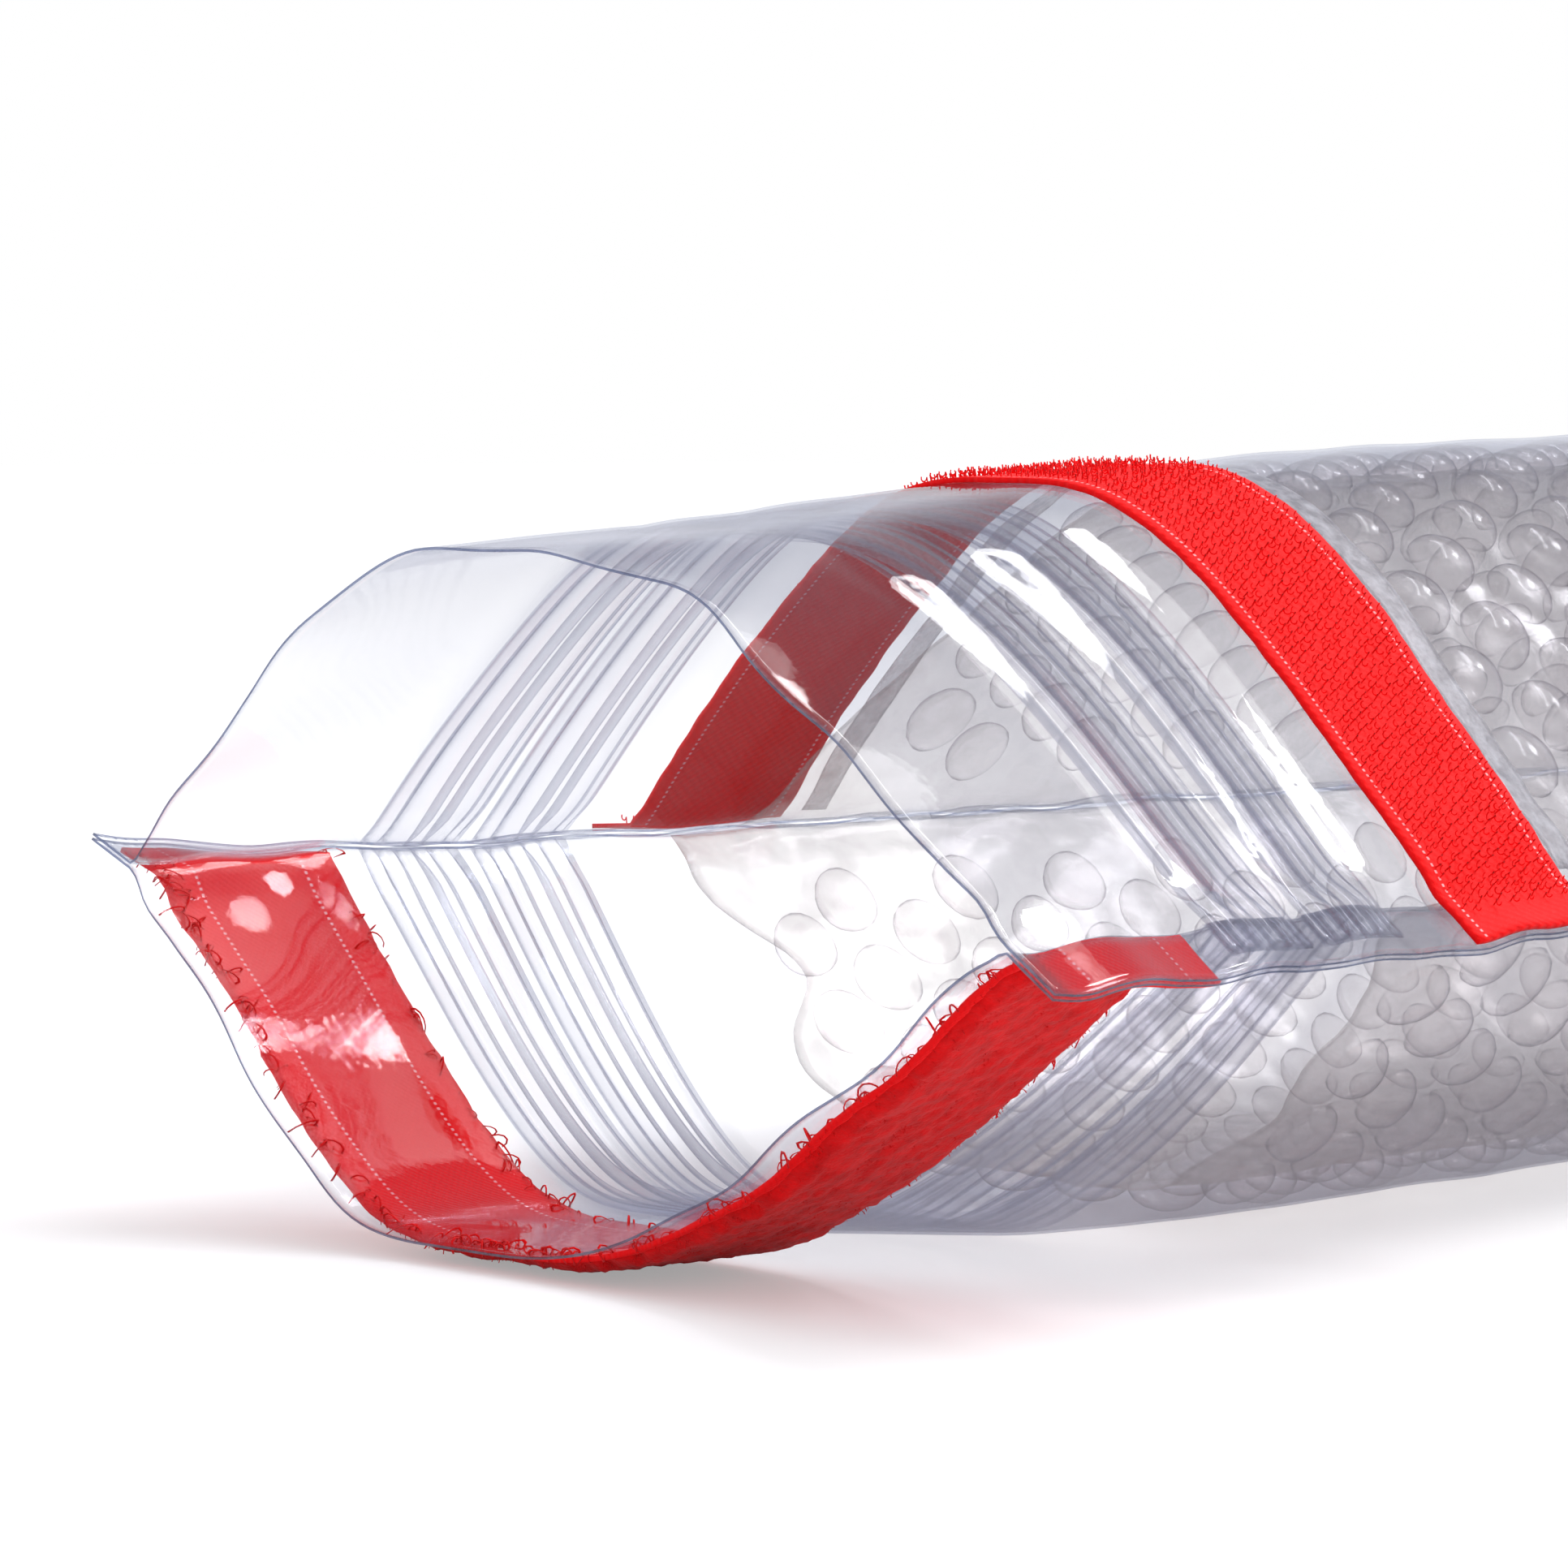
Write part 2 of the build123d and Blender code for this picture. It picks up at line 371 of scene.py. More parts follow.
def clearPlastic(name, look):
    # Thin clear plastic: what is behind shows through a faint tint that deepens at a glancing view.
    material = newMaterial(name)
    flat = addNode(material, "UVMap", {"uv_map": "flat"})
    grain = addNode(material, "TexNoise", {"Scale": 1 / look["grain"], "Detail": 3.0}, {"Vector": (flat, 0)})
    bump = addNode(material, "Bump", {"Strength": look["bump"], "Distance": 0.4 * mm}, {"Height": (grain, 0)})
    facing = addNode(material, "LayerWeight", {"Blend": 0.5}, {"Normal": (bump, 0)})
    deep = addNode(material, "Math", {"operation": "POWER", 1: look["edgePower"]}, {0: (facing, 1)})
    tint = addNode(material, "Mix", {"data_type": "RGBA", 6: linear(look["tint"]), 7: linear(look["edge"])},
                   {0: (deep, 0)})
    through = addNode(material, "BsdfTransparent", {}, {"Color": (tint, 2)})
    # the film's two faces together reflect about 8 % head on and nearly all at a glancing view
    glance = addNode(material, "Math", {"operation": "POWER", 1: 4.5}, {0: (facing, 1)})
    mirror = addNode(material, "Math", {"operation": "MULTIPLY_ADD", 1: look["glance"], 2: look["shine"]},
                     {0: (glance, 0)})
    gloss = addNode(material, "BsdfGlossy", {"Color": (1, 1, 1, 1), "Roughness": look["roughness"]},
                    {"Normal": (bump, 0)})
    shiny = addNode(material, "MixShader", {}, {0: (mirror, 0), 1: (through, 0), 2: (gloss, 0)})
    cloud = addNode(material, "TexNoise", {"Scale": 1 / look["cloudSize"], "Detail": 4.0}, {"Vector": (flat, 0)})
    haze = addNode(material, "MapRange", {1: 0.4, 2: 0.75, 3: look["haze"] * 0.4, 4: look["haze"] * 1.6},
                   {0: (cloud, 0)})
    milk = addNode(material, "BsdfPrincipled",
                   {"Base Color": linear(look["body"]), "Roughness": 0.4, "IOR": 1.5}, {"Normal": (bump, 0)})
    lit = addNode(material, "BsdfTranslucent", {"Color": linear(look["body"])}, {"Normal": (bump, 0)})
    milk = addNode(material, "MixShader", {0: 0.5}, {1: (milk, 0), 2: (lit, 0)})     # light comes through it too
    mixed = addNode(material, "MixShader", {}, {0: (haze, 0), 1: (shiny, 0), 2: (milk, 0)})
    return closeMaterial(material, mixed)


# plasticised vinyl film, calendered: clear, glossy, very slightly blue where it is seen edge on
clearFilm = clearPlastic("calenderedVinylFilm", {
    "tint": "#fafafb", "edge": "#dfe1ea", "edgePower": 3.5, "body": "#e9ebf2", "roughness": 0.04,
    "haze": 0.004, "cloudSize": 25, "grain": 9, "bump": 0.25, "shine": 0.022, "glance": 0.55})
# the cut edge of the same film: light is trapped in it and it reads as a blue-grey line
filmEdge = clearPlastic("cutVinylEdge", {
    "tint": "#9aa3bd", "edge": "#6c7796", "edgePower": 1.0, "body": "#aab2cb", "roughness": 0.15,
    "haze": 0.3, "cloudSize": 6, "grain": 3, "bump": 0.2, "shine": 0.04, "glance": 0.3})
# extruded polyethylene track strip, softer and a little bluer than the film
trackPlastic = clearPlastic("extrudedTrackStrip", {
    "tint": "#fbfbfc", "edge": "#e0e2ec", "edgePower": 3.0, "body": "#eef0f8", "roughness": 0.07,
    "haze": 0.02, "cloudSize": 5, "grain": 14, "bump": 0.2, "shine": 0.03, "glance": 0.5})
# blown low-density polyethylene, thin and cloudy
linerFilm = clearPlastic("blownLinerFilm", {
    "tint": "#f8f7f6", "edge": "#eceaea", "edgePower": 2.0, "body": "#f6f3f2", "roughness": 0.2,
    "haze": 0.09, "cloudSize": 7, "grain": 4, "bump": 0.45, "shine": 0.03, "glance": 0.4})
# the same film drawn into bubbles: thinner on top, thicker and greyer round the foot
bubbleFilm = clearPlastic("formedBubbleFilm", {
    "tint": "#fdfcfc", "edge": "#c2bfc6", "edgePower": 3.6, "body": "#f5f3f4", "roughness": 0.14,
    "haze": 0.05, "cloudSize": 3, "grain": 3, "bump": 0.3, "shine": 0.03, "glance": 0.4})
# transfer adhesive, whitish
bondFilm = clearPlastic("transferAdhesive", {
    "tint": "#f2f1f1", "edge": "#d5d3d6", "edgePower": 1.2, "body": "#f4f4f5", "roughness": 0.35,
    "haze": 0.55, "cloudSize": 2, "grain": 2, "bump": 0.5, "shine": 0.03, "glance": 0.2})


def wovenTape(name, look):
    # Woven nylon tape: fine warp and weft as bump, a colour that is partly random tone and partly painted shade
    # between the threads, and a stitched line near each edge.
    material = newMaterial(name)
    flat = addNode(material, "UVMap", {"uv_map": "flat"})
    parts = addNode(material, "SeparateXYZ", {}, {0: (flat, 0)})
    waves = []
    for axis, pitch in ((0, look["weftPitch"]), (1, look["warpPitch"])):
        turn = addNode(material, "Math", {"operation": "MULTIPLY", 1: 2 * math.pi / pitch}, {0: (parts, axis)})
        waves.append(addNode(material, "Math", {"operation": "SINE"}, {0: (turn, 0)}))
    weave = addNode(material, "Math", {"operation": "MULTIPLY"}, {0: (waves[0], 0), 1: (waves[1], 0)})
    fleck = addNode(material, "TexNoise", {"Scale": 1.6, "Detail": 5.0, "Roughness": 0.7}, {"Vector": (flat, 0)})
    height = addNode(material, "Math", {"operation": "MULTIPLY_ADD", 1: 0.35}, {0: (weave, 0), 2: (fleck, 0)})
    bump = addNode(material, "Bump", {"Strength": 0.5, "Distance": 0.25 * mm}, {"Height": (height, 0)})
    # the brushed middle is a deeper red than the plain selvedges beside the stitched lines
    off = addNode(material, "Math", {"operation": "SUBTRACT", 1: look["middle"]}, {0: (parts, 1)})
    away = addNode(material, "Math", {"operation": "ABSOLUTE"}, {0: (off, 0)})
    margin = addNode(material, "MapRange", {1: look["line"] - 0.4, 2: look["line"] + 0.4}, {0: (away, 0)})
    # painted shade: the colour is darker where the weave's bump height is low, between the threads, and lighter on
    # the raised threads; the fleck noise in that height is random tone
    shade = addNode(material, "MapRange", {1: 0.15, 2: 0.9, 3: 0.0, 4: 0.8}, {0: (height, 0)})
    bright = addNode(material, "Math", {"operation": "MULTIPLY_ADD", "use_clamp": True, 1: 0.6},
                     {0: (margin, 0), 2: (shade, 0)})
    colour = addNode(material, "Mix", {"data_type": "RGBA", 6: linear(look["dark"]), 7: linear(look["light"])},
                     {0: (bright, 0)})
    stitch = addNode(material, "Math", {"operation": "COMPARE", 1: look["line"], 2: 0.2}, {0: (away, 0)})
    beat = addNode(material, "Math", {"operation": "MULTIPLY", 1: 2 * math.pi / 0.8}, {0: (parts, 0)})
    dots = addNode(material, "Math", {"operation": "SINE"}, {0: (beat, 0)})
    lit = addNode(material, "Math", {"operation": "GREATER_THAN", 1: 0.1}, {0: (dots, 0)})
    thread = addNode(material, "Math", {"operation": "MULTIPLY"}, {0: (stitch, 0), 1: (lit, 0)})
    thread = addNode(material, "Math", {"operation": "MULTIPLY", 1: 0.75}, {0: (thread, 0)})
    colour = addNode(material, "Mix", {"data_type": "RGBA", 7: linear("#ffb9bd")}, {0: (thread, 0), 6: (colour, 2)})
    cloth = addNode(material, "BsdfPrincipled",
                    {"Roughness": 0.62, "IOR": 1.53, "Sheen Weight": 0.06, "Sheen Roughness": 0.4,
                     "Specular IOR Level": 0.1},
                    {"Base Color": (colour, 2), "Normal": (bump, 0)})
    return closeMaterial(material, cloth)


# nylon hook-and-loop tape, dyed scarlet; thread pitches drawn at about 0.9 mm so that they show
hookWeave = wovenTape("wovenNylonHookGround", {
    "weftPitch": 1.4, "warpPitch": 1.7, "dark": "#e80004", "light": "#fc0408", "middle": 88.5, "line": 10.6})
loopWeave = wovenTape("wovenNylonLoopGround", {
    "weftPitch": 0.9, "warpPitch": 0.9, "dark": "#f0000a", "light": "#ff0a10", "middle": 16.5, "line": 7.8})


def pileMaterial(name, dark, light, sheen):
    material = newMaterial(name)
    place = addNode(material, "TexCoord")
    clump = addNode(material, "TexNoise", {"Scale": 420.0, "Detail": 4.0, "Roughness": 0.65}, {"Vector": (place, 3)})
    shade = addNode(material, "MapRange", {1: 0.3, 2: 0.68}, {0: (clump, 0)})
    colour = addNode(material, "Mix", {"data_type": "RGBA", 6: linear(dark), 7: linear(light)}, {0: (shade, 0)})
    fine = addNode(material, "TexNoise", {"Scale": 2600.0, "Detail": 2.0}, {"Vector": (place, 3)})
    bump = addNode(material, "Bump", {"Strength": 0.6, "Distance": 0.2 * mm}, {"Height": (fine, 0)})
    yarn = addNode(material, "BsdfPrincipled",
                   {"Roughness": 0.7, "IOR": 1.53, "Sheen Weight": sheen, "Sheen Roughness": 0.5,
                    "Specular IOR Level": 0.12},
                   {"Base Color": (colour, 2), "Normal": (bump, 0)})
    return closeMaterial(material, yarn)


loopYarn = pileMaterial("brushedNylonLoops", "#c80004", "#f00208", 0.08)
hookYarn = pileMaterial("nylonHookMonofilament", "#e80004", "#ff0a12", 0.05)
print("materials ready")

# Film panels
panel = {"film": 0.3 * mm, "columns": 116, "mouthRows": 1.5, "mouthPart": 110, "backRows": 110, "noWidth": 0.001}


def makePanel(side, name, node):
    edge = shape["halfFilm"] + shape["weld"]
    piece = flatGrid(name, np.linspace(-edge, edge, panel["columns"] + 1),
                     np.concatenate([np.arange(0, panel["mouthPart"], panel["mouthRows"]),
                                     np.linspace(panel["mouthPart"], bagLength / mm, panel["backRows"])]) * mm)
    applyModifier(piece, "SOLIDIFY", thickness=panel["film"], offset=1)
    wrapPiece(piece, side)
    rim = np.zeros(len(piece.data.polygons), int)
    loops = piece.data.uv_layers["flat"].data
    for p in piece.data.polygons:
        flat = np.array([loops[i].uv for i in p.loop_indices])
        spread = flat.max(0) - flat.min(0)
        rim[p.index] = int(spread.min() < panel["noWidth"])    # a rim face has no width on the flat map
    settle(piece, side, [node], [clearFilm, filmEdge])
    piece.data.polygons.foreach_set("material_index", rim)
    return piece


makePanel(upper, "upperPanel", "upper_panel")
makePanel(lower, "lowerPanel", "lower_panel")
print("panels ready")

# Press-to-close tracks
track = {
    "base": 0.35 * mm, "seat": 0.06 * mm, "height": 1.7 * mm, "half": 73.0 * mm,
    # ridges as (middle, width, height) from the strip's middle, in millimetres
    "channel": ((-5.4, 0.9, 0.5), (-1.15, 0.6, 1.7), (1.15, 0.6, 1.7), (4.6, 0.8, 0.5), (6.3, 0.6, 0.4)),
    "rib": ((-5.6, 0.9, 0.5), (-2.6, 0.5, 0.8), (0.0, 0.8, 1.9), (2.6, 0.5, 0.8), (5.6, 0.8, 0.5)),
}


def makeTrack(side, kind, position):
    node = f"{position}_zip_{kind}"
    low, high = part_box(node)
    start, end = low.y - mouthY, high.y - mouthY
    middle = (start + end) / 2
    rows = {start, end}
    for at, width, height in track[kind]:
        rows |= {middle + (at - width / 2) * mm, middle + (at + width / 2) * mm, middle + at * mm}
    reach = shape["halfFilm"] + 5 * mm
    piece = flatGrid(position.title() + kind.title() + "Track", np.linspace(-reach, reach, 131), sorted(rows))
    applyModifier(piece, "SOLIDIFY", thickness=track["base"], offset=-1)
    co = readPoints(piece)
    co[:, 2] -= track["seat"]
    writePoints(piece, co)
    for at, width, height in track[kind]:
        lowEdge, highEdge = middle + (at - width / 2) * mm, middle + (at + width / 2) * mm
        extrudeFaces(piece, lambda c, n: lowEdge < c.y < highEdge and n.z < -0.9, (0, 0, -height * mm))
    wrapPiece(piece, side)
    settle(piece, side, [node], [trackPlastic])


for trackSide, trackKind in ((upper, "channel"), (lower, "rib")):
    for trackPosition in ("front", "rear"):
        makeTrack(trackSide, trackKind, trackPosition)
print("tracks ready")

# Hook tape and loop tape
tape = {"ground": 0.6 * mm, "seat": 0.4 * mm, "selvedge": 2.2 * mm, "hookHeight": 1.5 * mm,
        "hookPitch": 1.45, "hookRow": 1.72, "hookThread": 0.1 * mm, "pileHeight": 1.5 * mm,
        "loops": 4700, "strayLoops": 260}


def tapeEnds(node):
    low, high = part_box(node)
    return low.y - mouthY, high.y - mouthY


def makeGround(side, name, node, material):
    start, end = tapeEnds(node)
    edge = shape["halfFilm"] + shape["weld"] - 0.6 * mm
    piece = flatGrid(name, np.linspace(-edge, edge, 161), np.linspace(start, end, 19))
    co = readPoints(piece)
    inner = (np.abs(co[:, 1] - (start + end) / 2) < (end - start) / 2 - 0.1 * mm)
    fray = softNoise(co[:, 0], co[:, 1], 3 * mm, 30 * mm, 5.5) * 0.35 * mm
    co[:, 1] += np.where(inner, 0, fray)             # the selvedges aren't dead straight
    writePoints(piece, co)
    applyModifier(piece, "SOLIDIFY", thickness=tape["ground"], offset=1)
    co = readPoints(piece)
    co[:, 2] += tape["seat"]
    writePoints(piece, co)
    wrapPiece(piece, side)
    settle(piece, side, [node], [material])


makeGround(upper, "HookTapeGround", "hook_tape_ground", hookWeave)
makeGround(lower, "LoopTapeGround", "loop_tape_ground", loopWeave)


def makeHookUnit():
    # One cut nylon hook: a thread that rises and curls over.
    deselectAll()
    bpy.ops.mesh.primitive_circle_add(vertices=4, radius=tape["hookThread"], fill_type="NGON")
    unit = bpy.context.object
    bpy.context.tool_settings.mesh_select_mode = (False, False, True)
    bpy.ops.object.mode_set(mode="EDIT")
    bpy.ops.mesh.select_all(action="SELECT")
    bpy.ops.mesh.extrude_region_move(TRANSFORM_OT_translate={"value": (0, 0, tape["hookHeight"] * 0.6)})
    bpy.ops.mesh.spin(steps=5, angle=math.radians(215), center=(0.42 * mm, 0, tape["hookHeight"] * 0.6),
                      axis=(0, 1, 0))
    bpy.ops.object.mode_set(mode="OBJECT")
    return unit


def makeHooks():
    start, end = tapeEnds("hook_tape_ground")
    edge = shape["halfFilm"] + 3.5 * mm
    top = tape["seat"] + tape["ground"]
    places = []
    rows = np.arange(start + tape["selvedge"], end - tape["selvedge"] + 0.1 * mm, tape["hookRow"] * mm)
    for number, row in enumerate(rows):
        for across in np.arange(-edge, edge, tape["hookPitch"] * mm):
            jitter = random.uniform(-0.18, 0.18, 2) * mm
            turn = random.uniform(-0.5, 0.5) + (0 if number % 2 else math.pi)
            places.append((across + jitter[0] + number % 2 * 0.7 * mm, row + jitter[1], top - 0.1 * mm, turn,
                           random.uniform(0.85, 1.12), random.uniform(-0.15, 0.15)))
    piece = tiled("TapeHooks", makeHookUnit(), places)
    wrapPiece(piece, upper)
    settle(piece, upper, ["hook_tape_hooks"], [hookYarn])


makeHooks()


def makePileUnit():
    # One brushed loop: a fine arch of yarn.
    deselectAll()
    bpy.ops.mesh.primitive_circle_add(vertices=3, radius=0.055 * mm, fill_type="NGON")
    unit = bpy.context.object
    bpy.context.tool_settings.mesh_select_mode = (False, False, True)
    bpy.ops.object.mode_set(mode="EDIT")
    bpy.ops.mesh.select_all(action="SELECT")
    bpy.ops.mesh.spin(steps=6, angle=math.radians(200), center=(0.55 * mm, 0, 0), axis=(0, 1, 0))
    bpy.ops.object.mode_set(mode="OBJECT")
    return unit


def makePile():
    start, end = tapeEnds("loop_tape_pile")
    start, end = start - 1.2 * mm, end + 1.4 * mm
    edge = shape["halfFilm"] + 5 * mm
    top = tape["seat"] + tape["ground"]
    mat = flatGrid("LoopPile", np.linspace(-edge, edge, 261), np.linspace(start, end, 43))
    co = readPoints(mat)
    margin = np.minimum(co[:, 1] - start, end - co[:, 1])
    rounded = smoothStep(-0.1 * mm, 1.6 * mm, margin)
    clumps = softNoise(co[:, 0], co[:, 1], 1.3 * mm, 1.3 * mm, 2.0) * 0.35 * mm
    clumps = clumps + softNoise(co[:, 0], co[:, 1], 5 * mm, 4 * mm, 6.0) * 0.3 * mm
    co[:, 2] = top - 0.05 * mm + rounded * (tape["pileHeight"] - 0.3 * mm) + clumps * rounded
    ragged = softNoise(co[:, 0], co[:, 1], 2.2 * mm, 30 * mm, 15.0) * 0.9 * mm
    co[:, 1] += ragged * (1 - smoothStep(0, 2 * mm, margin))
    writePoints(mat, co)
    applyModifier(mat, "SOLIDIFY", thickness=0.3 * mm, offset=-1)
    places = []
    for count in range(tape["loops"]):
        across, along = random.uniform(-edge, edge), random.uniform(start, end)
        inward = min(along - start, end - along)
        lift = top + tape["pileHeight"] * 0.62 * float(smoothStep(-0.1 * mm, 1.6 * mm, inward))
        places.append((across, along, lift, random.uniform(0, 2 * math.pi), random.uniform(0.7, 1.25),
                       random.uniform(-0.5, 0.5)))
    for count in range(tape["strayLoops"]):          # fuzz that has worked loose along the two edges
        across = random.uniform(-edge, edge * 0.9)
        along = start - 0.3 * mm if random.uniform() < 0.7 else end + 0.3 * mm
        places.append((across, along, top - 0.2 * mm, random.uniform(0, 2 * math.pi),
                       random.uniform(1.2, 2.6), random.uniform(-1.2, 1.2)))
    loops = tiled("PileLoops", makePileUnit(), places)
    wrapPiece(mat, lower)
    settle(mat, lower, ["loop_tape_pile"], [loopYarn])
    wrapPiece(loops, lower)
    settle(loops, lower, [], [loopYarn])


makePile()
print("tapes ready")

# Bubble liner
liner = {"film": 0.15 * mm, "gap": 0.3 * mm, "bubble": 10.0 * mm, "bubbleHeight": 3.3 * mm, "pitch": 12.0 * mm}


def makeLiner(side, half):
    low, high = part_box(f"{half}_liner_film")
    start, end = low.y - mouthY, bagLength - shape["weld"] - 2 * mm
    edge = shape["halfFilm"] - 0.5 * mm
    foot = -liner["gap"] - liner["bubbleHeight"]
    piece = flatGrid(half.title() + "LinerFilm", np.linspace(-edge, edge, 107), np.linspace(start, end, 170))
    co = readPoints(piece)
    if side == lower:                                # its front edge is loose and hand-cut
        share = 1 - smoothStep(start, start + 40 * mm, co[:, 1])
        cut = softNoise(co[:, 0], co[:, 0] * 0, 16 * mm, 16 * mm, 40.0) * 9 * mm
        co[:, 1] += (cut + np.abs(co[:, 0]) / shape["halfFilm"] * -3 * mm) * share
    else:                                            # and this one runs forward under the tape's far end
        share = 1 - smoothStep(start, start + 50 * mm, co[:, 1])
        co[:, 1] -= 15 * mm * smoothStep(25 * mm, 76 * mm, -co[:, 0]) * share
    crinkle = softNoise(co[:, 0], co[:, 1], 4 * mm, 5 * mm, 50.0 + side) * 0.5 * mm
    co[:, 2] = foot + crinkle
    writePoints(piece, co)
    applyModifier(piece, "SOLIDIFY", thickness=liner["film"], offset=-1)
    wrapPiece(piece, side)
    settle(piece, side, [f"{half}_liner_film"], [linerFilm])

    deselectAll()
    bpy.ops.mesh.primitive_uv_sphere_add(segments=18, ring_count=10, radius=liner["bubble"] / 2)
    dome = bpy.context.object
    bpy.ops.object.mode_set(mode="EDIT")
    bpy.ops.mesh.select_all(action="SELECT")
    bpy.ops.mesh.bisect(plane_co=(0, 0, -0.1 * mm), plane_no=(0, 0, 1), clear_inner=True)
    bpy.ops.object.mode_set(mode="OBJECT")
    co = readPoints(dome)
    flatten = liner["bubbleHeight"] / (liner["bubble"] / 2)
    co[:, 2] = np.maximum(co[:, 2], 0) * flatten
    co[:, :2] *= 1 + 0.12 * np.clip(co[:, 2:3] / liner["bubbleHeight"], 0, 1) * 0.5
    writePoints(dome, co)
    places = []
    rowPitch = liner["pitch"] * math.sqrt(3) / 2
    rowCount = int((end - 10 * mm - start - liner["bubble"]) / rowPitch) + 1
    for row in range(rowCount):
        along = start + liner["bubble"] / 2 + 2.5 * mm + row * rowPitch
        shift = row % 2 * liner["pitch"] / 2
        for across in np.arange(-72 * mm + shift, 72.1 * mm, liner["pitch"]):
            if abs(across) < edge - 8 * mm:
                places.append((across, along, foot + 0.25 * mm, random.uniform(0, 6), random.uniform(0.9, 1.0),
                               random.uniform(-0.08, 0.08)))
    bubbles = tiled(half.title() + "Bubbles", dome, places)
    wrapPiece(bubbles, side)
    settle(bubbles, side, [f"{half}_liner_bubbles"], [bubbleFilm])


makeLiner(upper, "upper")
makeLiner(lower, "lower")


def makeBond():
    low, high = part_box("liner_bond_strip")
    start, end = low.y - mouthY, high.y - mouthY
    edge = shape["halfFilm"] - 2 * mm
    piece = flatGrid("LinerBondStrip", np.linspace(-edge, edge, 121), np.linspace(start, end, 7))
    co = readPoints(piece)
    co[:, 1] += softNoise(co[:, 0], co[:, 1], 5 * mm, 9 * mm, 60.0) * 0.5 * mm
    co[:, 2] = -0.06 * mm
    writePoints(piece, co)
    applyModifier(piece, "SOLIDIFY", thickness=0.2 * mm, offset=-1)
    wrapPiece(piece, upper)
    settle(piece, upper, ["liner_bond_strip"], [bondFilm])


makeBond()
print("liner ready")

# Floor, light and camera
stage = {"floor": "#d4d4d4", "lens": 130.3, "azimuth": 44.03, "pitch": 3.84, "roll": 0.312,
         "from": (441.2, -633.0, 95.6)}


def makeFloor():
    deselectAll()
    bpy.ops.mesh.primitive_plane_add(size=12)
    floor = bpy.context.object
    floor.name = "floor"
    material = newMaterial("paintedFloor")
    path = addNode(material, "LightPath")
    paint = addNode(material, "BsdfDiffuse", {"Color": linear(stage["floor"])})
    lift = addNode(material, "Emission", {"Color": (1, 1, 1, 1), "Strength": 0.34})
    both = addNode(material, "AddShader", {}, {0: (paint, 0), 1: (lift, 0)})
    mixed = addNode(material, "MixShader", {}, {0: (path, 0), 1: (paint, 0), 2: (both, 0)})
    floor.data.materials.append(closeMaterial(material, mixed))


makeFloor()


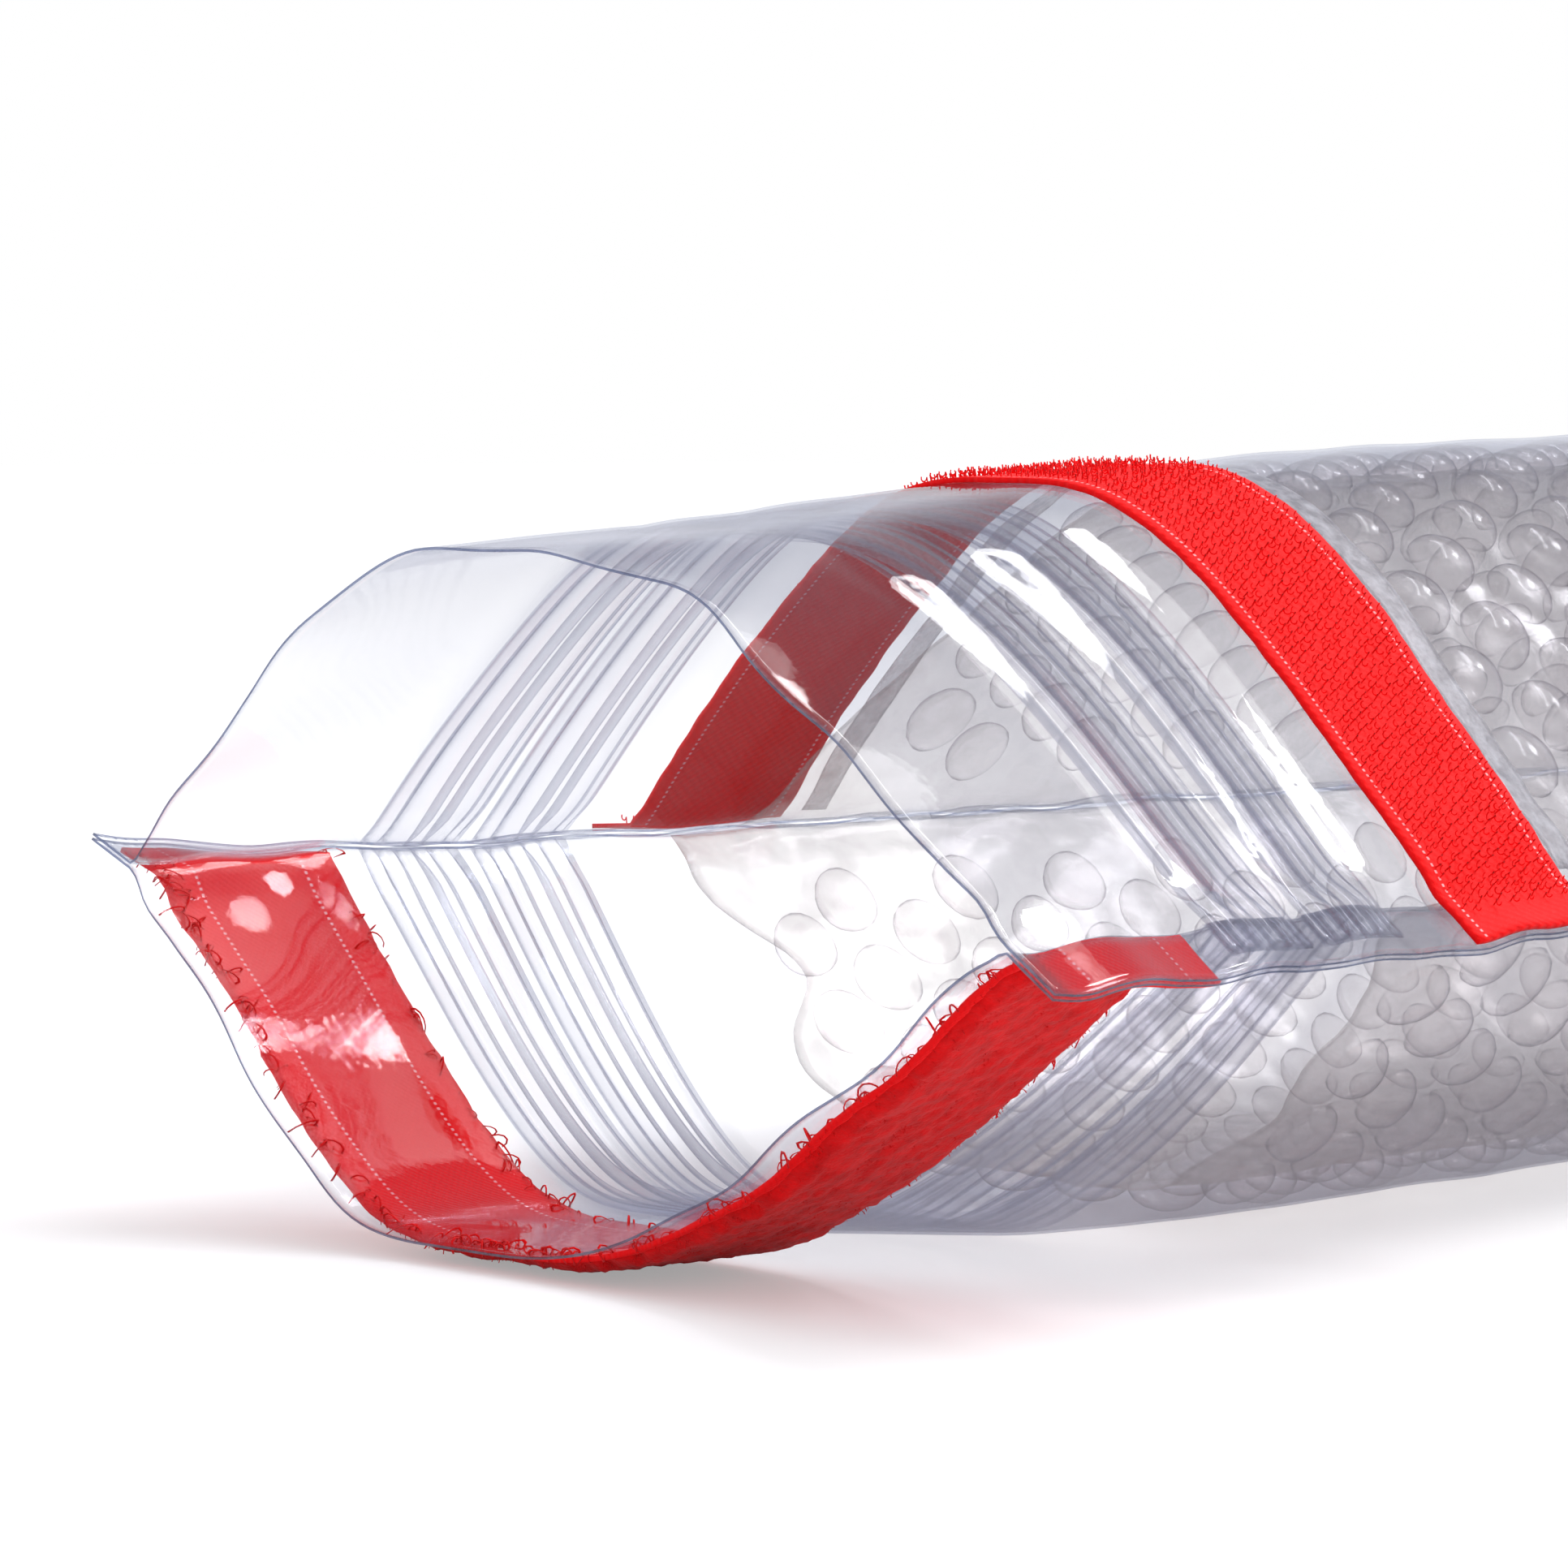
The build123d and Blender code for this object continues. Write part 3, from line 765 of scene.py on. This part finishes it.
def makeWorld():
    world = bpy.data.worlds.new("studio")
    bpy.context.scene.world = world
    world.use_nodes = True
    tree = world.node_tree
    tree.nodes.clear()
    path = tree.nodes.new("ShaderNodeLightPath")
    seen = tree.nodes.new("ShaderNodeBackground")
    seen.inputs["Color"].default_value = (1, 1, 1, 1)
    seen.inputs["Strength"].default_value = 1.0
    soft = tree.nodes.new("ShaderNodeBackground")
    soft.inputs["Color"].default_value = linear("#f3f4f8")
    soft.inputs["Strength"].default_value = 0.88
    # what the film's gloss reflects: bright walls under a darker ceiling
    place = tree.nodes.new("ShaderNodeTexCoord")
    parts = tree.nodes.new("ShaderNodeSeparateXYZ")
    rise = tree.nodes.new("ShaderNodeMapRange")
    rise.inputs[1].default_value, rise.inputs[2].default_value = 0.2, 0.6
    shade = tree.nodes.new("ShaderNodeMix")
    shade.data_type = "RGBA"
    shade.inputs[6].default_value, shade.inputs[7].default_value = linear("#f4f5fa"), linear("#70747e")
    room = tree.nodes.new("ShaderNodeBackground")
    tree.links.new(place.outputs["Generated"], parts.inputs[0])
    tree.links.new(parts.outputs["Z"], rise.inputs[0])
    tree.links.new(rise.outputs[0], shade.inputs[0])
    tree.links.new(shade.outputs[2], room.inputs["Color"])
    glossy = tree.nodes.new("ShaderNodeMixShader")
    mixed = tree.nodes.new("ShaderNodeMixShader")
    out = tree.nodes.new("ShaderNodeOutputWorld")
    tree.links.new(path.outputs["Is Glossy Ray"], glossy.inputs[0])
    tree.links.new(soft.outputs[0], glossy.inputs[1])
    tree.links.new(room.outputs[0], glossy.inputs[2])
    tree.links.new(path.outputs["Is Camera Ray"], mixed.inputs[0])
    tree.links.new(glossy.outputs[0], mixed.inputs[1])
    tree.links.new(seen.outputs[0], mixed.inputs[2])
    tree.links.new(mixed.outputs[0], out.inputs[0])


makeWorld()


def makeLamp(name, place, aim, size, power):
    lamp = bpy.data.lights.new(name, "AREA")
    lamp.shape, lamp.size, lamp.size_y, lamp.energy = "RECTANGLE", size[0], size[1], power
    holder = bpy.data.objects.new(name, lamp)
    bpy.context.scene.collection.objects.link(holder)
    holder.location = place
    holder.rotation_euler = (Vector(aim) - Vector(place)).to_track_quat("-Z", "Y").to_euler()


makeLamp("keySoftbox", (0.5, 1.1, 1.3), (0, -0.1, 0.04), (0.4, 0.3), 9)
makeLamp("stripLight", (0.2, 0.48, 1.16), (0, -0.17, 0.07), (1.2, 0.12), 5)


def makeSun():
    sun = bpy.data.lights.new("overheadSun", "SUN")
    sun.energy, sun.angle = 1.1, math.radians(50)
    holder = bpy.data.objects.new("overheadSun", sun)
    bpy.context.scene.collection.objects.link(holder)
    holder.rotation_euler = (math.radians(-24), math.radians(14), 0)


makeSun()


def makeCamera():
    camera = bpy.data.cameras.new("camera")
    camera.lens, camera.sensor_width = stage["lens"], 36
    camera.clip_start, camera.clip_end = 0.01, 50
    holder = bpy.data.objects.new("camera", camera)
    bpy.context.scene.collection.objects.link(holder)
    azimuth, pitch, roll = (math.radians(stage[key]) for key in ("azimuth", "pitch", "roll"))
    ahead = Vector((-math.sin(azimuth) * math.cos(pitch), math.cos(azimuth) * math.cos(pitch), -math.sin(pitch)))
    right = Vector((math.cos(azimuth), math.sin(azimuth), 0))
    up = right.cross(ahead)
    right, up = right * math.cos(roll) + up * math.sin(roll), up * math.cos(roll) - right * math.sin(roll)
    turn = Matrix((right, up, -ahead)).transposed().to_4x4()
    holder.matrix_world = Matrix.Translation(Vector(stage["from"]) * mm) @ turn
    bpy.context.scene.camera = holder


makeCamera()
scene = bpy.context.scene
scene.view_settings.view_transform = "Standard"
scene.cycles.transparent_max_bounces = 48
print("stage ready")
